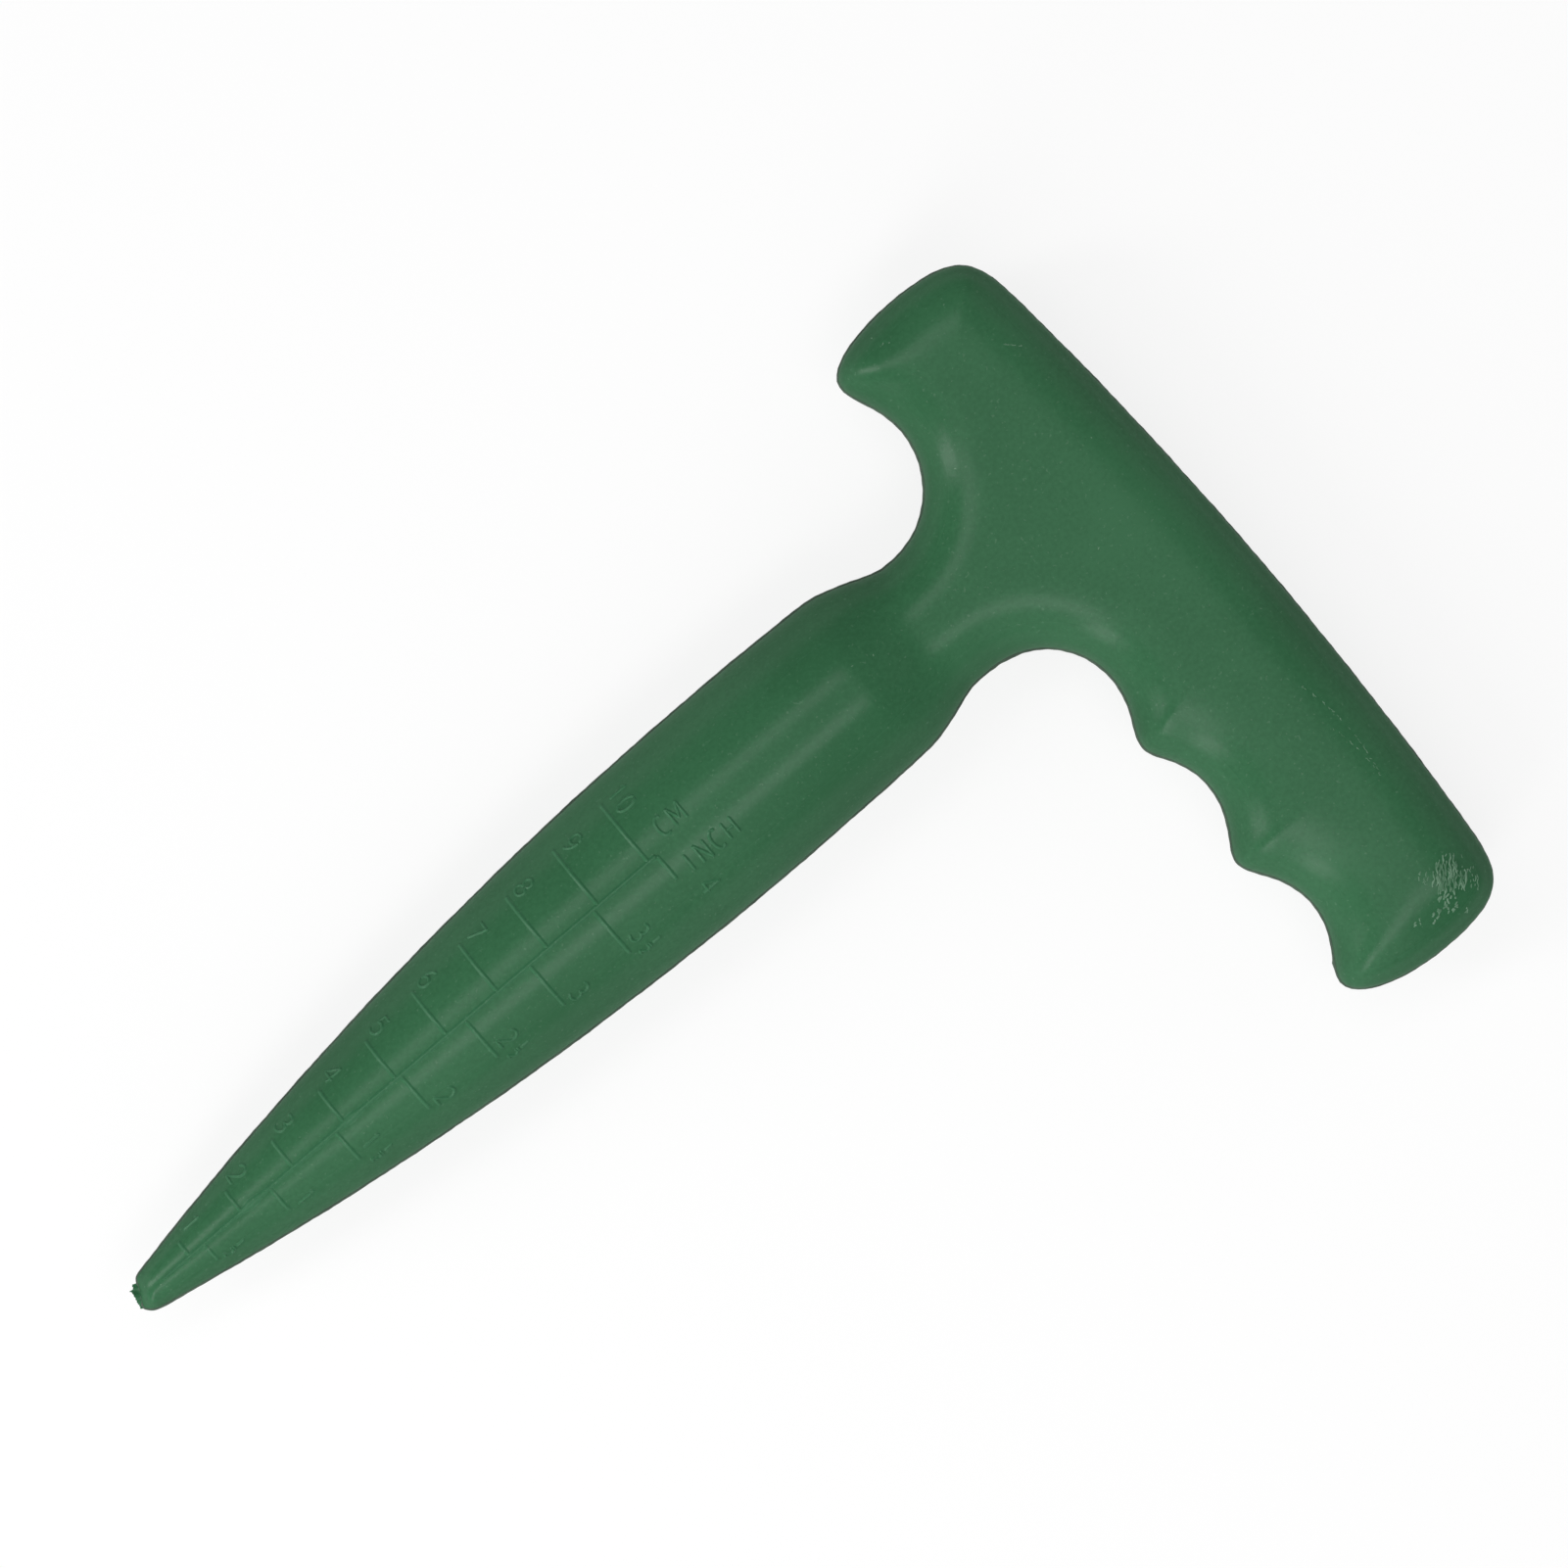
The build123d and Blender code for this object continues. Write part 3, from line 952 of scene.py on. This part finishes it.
def scuff_furrows(paint):
    """How much painted shade a point gets in the scuff's furrows: streaks along the rub, which fade out at
    its rim.
    """
    x, y, half_width, half_length = SCUFF
    rim = paint.patch(x, y, RUB_HEADING, (half_length, half_width, HALF_THICKNESS))
    far = paint.node("ShaderNodeVectorMath", {"operation": "LENGTH"}, {0: rim}, output="Value")
    streak = paint.noise(1, detail=2, place=paint.patch(x, y, RUB_HEADING, STREAK_SIZES))
    return (1 - far.ramp(*RIM_RAMP)) * streak.ramp(*STREAK_RAMP)


def moulded_green(name, dark, light):
    """Semi-matte green plastic: a faint drift of tone, fine grain, pale specks, painted shade in the
    scuff's furrows and duller steep sides.
    """
    paint = Paint(name)
    drift = paint.noise(DRIFT_SCALE, detail=3)
    grain = paint.noise(GRAIN_SCALE, detail=3)
    speck = paint.noise(SPECK_SCALE, detail=1).ramp(*SPECK_RAMP)
    tone = (1 - GRAIN_SHARE) * drift + GRAIN_SHARE * grain
    colour = paint.mix(tone.ramp(*TONE_RAMP), dark, light)
    colour = paint.mix(SPECK_SHARE * speck, colour, RUBBED_LIGHT)
    # Painted shade: the scuff's furrows are darkened where shadow falls between its strands
    colour = paint.mix(FURROW_SHADE_SHARE * scuff_furrows(paint), colour, FURROW_SHADE)
    upright = paint.node("ShaderNodeAttribute", {"attribute_name": "upright"}, output="Fac")
    steep = 1 - upright.ramp(*LEVEL_RAMP)
    level, share = GREEN_ROUGHNESS
    bump = {"Height": grain, "Distance": GRAIN_DEPTH, "Strength": GRAIN_STRENGTH}
    return paint.finish({
        "Base Color": colour,
        "Roughness": level + share * drift + STEEP_DULLNESS * steep,
        "Normal": paint.node("ShaderNodeBump", None, bump),
        "Specular IOR Level": GREEN_SPECULAR,
    })


def flash_grey():
    """Dull grey-green of the torn seam bead, in patches of two tones."""
    paint = Paint("flash_grey")
    drift = paint.noise(FLASH_SCALE, detail=3)
    colour = paint.mix(drift.ramp(*FLASH_RAMP), FLASH_DARK, FLASH_LIGHT)
    level, share = FLASH_ROUGHNESS
    return paint.finish({"Base Color": colour, "Roughness": level + share * drift})


def rubbed_pale():
    """Pale, dull green where the skin is torn or nicked, in patches of two tones."""
    paint = Paint("rubbed_pale")
    drift = paint.noise(RUBBED_SCALE, detail=2)
    colour = paint.mix(drift.ramp(*RUBBED_RAMP), RUBBED_DARK, RUBBED_LIGHT)
    level, share = RUBBED_ROUGHNESS
    return paint.finish({
        "Base Color": colour,
        "Roughness": level + share * drift,
        "Specular IOR Level": RUBBED_SPECULAR,
    })


# Stage, in metres

WHITE = (1, 1, 1, 1)
FLOOR_WHITE = (0.97, 0.97, 0.97, 1)
FLOOR_HALF = 8.0
FLOOR_GLOW = 0.82
TENT_LEVEL = 0.155

# The camera looks straight down on a place of the tool's plane
VIEW_PLACE = (123.121, -4.2, 0)
VIEW_MIDDLE = (TOOL_ORIGIN + VIEW_PLACE) * MM
VIEW_TURN = math.radians(-40.62)
VIEW_WIDTH = 0.2327
VIEW_DISTANCE = 0.85
SENSOR_MM = 36.0

# Lamps: direction from the middle of the view, distance, width, length, power in watts and long way
ALONG_SPIKE = (1, 0, 0)
UPRIGHT = (0, 0, 1)
LAMPS = {
    "left_strip": ((-0.15, 0.39, 1), 0.9, 0.22, 0.68, 1.2, ALONG_SPIKE),
    "near_strip": ((-0.15, -0.39, 1), 0.9, 0.22, 0.68, 1.55, ALONG_SPIKE),
    "left_end": ((-0.715, 0.438, 0.545), 1.1, 0.24, 0.76, 3.9, UPRIGHT),
    "near_end": ((-0.754, -0.368, 0.545), 1.1, 0.24, 0.76, 2.8, UPRIGHT),
    "tip_fill": ((-1, 0, 0.35), 1.2, 1.2, 1.2, 1.0, ALONG_SPIKE),
    "near_fill": ((-0.45, -0.8, 0.75), 1.0, 0.9, 0.9, 1.9, ALONG_SPIKE),
    "palm_fill": ((1, -0.1, 0.5), 1.2, 1.0, 1.0, 1.35, UPRIGHT),
    "top_lamp": ((-0.02, 0, 1), 1.0, 0.8, 0.8, 1.4, ALONG_SPIKE),
}


def make_floor():
    """A wide white sheet under the tool, which glows wherever it is seen, so that it stays white."""
    mesh = bpy.data.meshes.new("floor")
    corners = [(-FLOOR_HALF, -FLOOR_HALF, 0), (FLOOR_HALF, -FLOOR_HALF, 0),
               (FLOOR_HALF, FLOOR_HALF, 0), (-FLOOR_HALF, FLOOR_HALF, 0)]
    mesh.from_pydata(corners, [], [(0, 1, 2, 3)])
    paint = Paint("floor_white")
    sheet = paint.node("ShaderNodeBsdfDiffuse", None, {"Color": FLOOR_WHITE})
    glow = paint.node("ShaderNodeEmission", None, {"Strength": 1.0})
    rays = ("Is Camera Ray", "Is Glossy Ray", "Is Transmission Ray")
    camera, glossy, passing = (paint.node("ShaderNodeLightPath", output=ray) for ray in rays)
    seen = camera.math("MAXIMUM", camera, glossy.math("MAXIMUM", glossy, passing))
    surface = paint.node("ShaderNodeMixShader", None, {0: FLOOR_GLOW * seen, 1: sheet, 2: glow})
    paint.node("ShaderNodeOutputMaterial", None, {"Surface": surface})
    mesh.materials.append(paint.material)
    floor = bpy.data.objects.new("floor", mesh)
    bpy.context.scene.collection.objects.link(floor)


def make_lamp(name, direction, distance, width, length, power, long_way):
    """An oblong lamp that looks back at the middle of the view, with its length turned to the long way."""
    lamp = bpy.data.lights.new(name, "AREA")
    lamp.shape = "RECTANGLE"
    lamp.size = width
    lamp.size_y = length
    lamp.energy = power
    stand = bpy.data.objects.new(name, lamp)
    away = Vector(direction).normalized()
    across = Vector(long_way).cross(away).normalized()
    along = away.cross(across)
    stand.location = Vector(VIEW_MIDDLE) + away * distance
    stand.rotation_euler = Matrix((across, along, away)).transposed().to_euler()
    bpy.context.scene.collection.objects.link(stand)


def make_tent():
    """Even soft light from all round."""
    world = bpy.data.worlds.new("tent")
    world.use_nodes = True
    background = world.node_tree.nodes["Background"]
    background.inputs["Color"].default_value = WHITE
    background.inputs["Strength"].default_value = TENT_LEVEL
    bpy.context.scene.world = world


def make_camera():
    """A camera straight above the tool, with the spike running down to the left."""
    camera = bpy.data.cameras.new("camera")
    camera.sensor_width = SENSOR_MM
    camera.lens = SENSOR_MM * VIEW_DISTANCE / VIEW_WIDTH
    stand = bpy.data.objects.new("camera", camera)
    stand.location = VIEW_MIDDLE + (0, 0, VIEW_DISTANCE)
    stand.rotation_euler = (0, 0, VIEW_TURN)
    bpy.context.scene.collection.objects.link(stand)
    bpy.context.scene.camera = stand


green = moulded_green("moulded_green", GREEN_DARK, GREEN_LIGHT)
worn = moulded_green("worn_ridge_green", RIDGE_DARK, RIDGE_LIGHT)
grey = flash_grey()
pale = rubbed_pale()
make_shell("front_shell", 1, green)
make_shell("rear_shell", -1, green)
make_bead(grey)
make_nose_tab(worn)
make_ridges("scale_lines", scale_lines(), worn)
make_ridges("scale_numbers", scale_numbers(), worn)
make_ridges("unit_letters", unit_letters(), worn)
make_ridges("scuff_strands", scuff_strands(), pale)
make_ridges("scuff_slivers", scuff_slivers(), pale)
make_ridges("flecks", flecks(), pale)

make_floor()
for lamp_name, lamp_values in LAMPS.items():
    make_lamp(lamp_name, *lamp_values)
make_tent()
make_camera()
bpy.context.scene.view_settings.view_transform = "Standard"
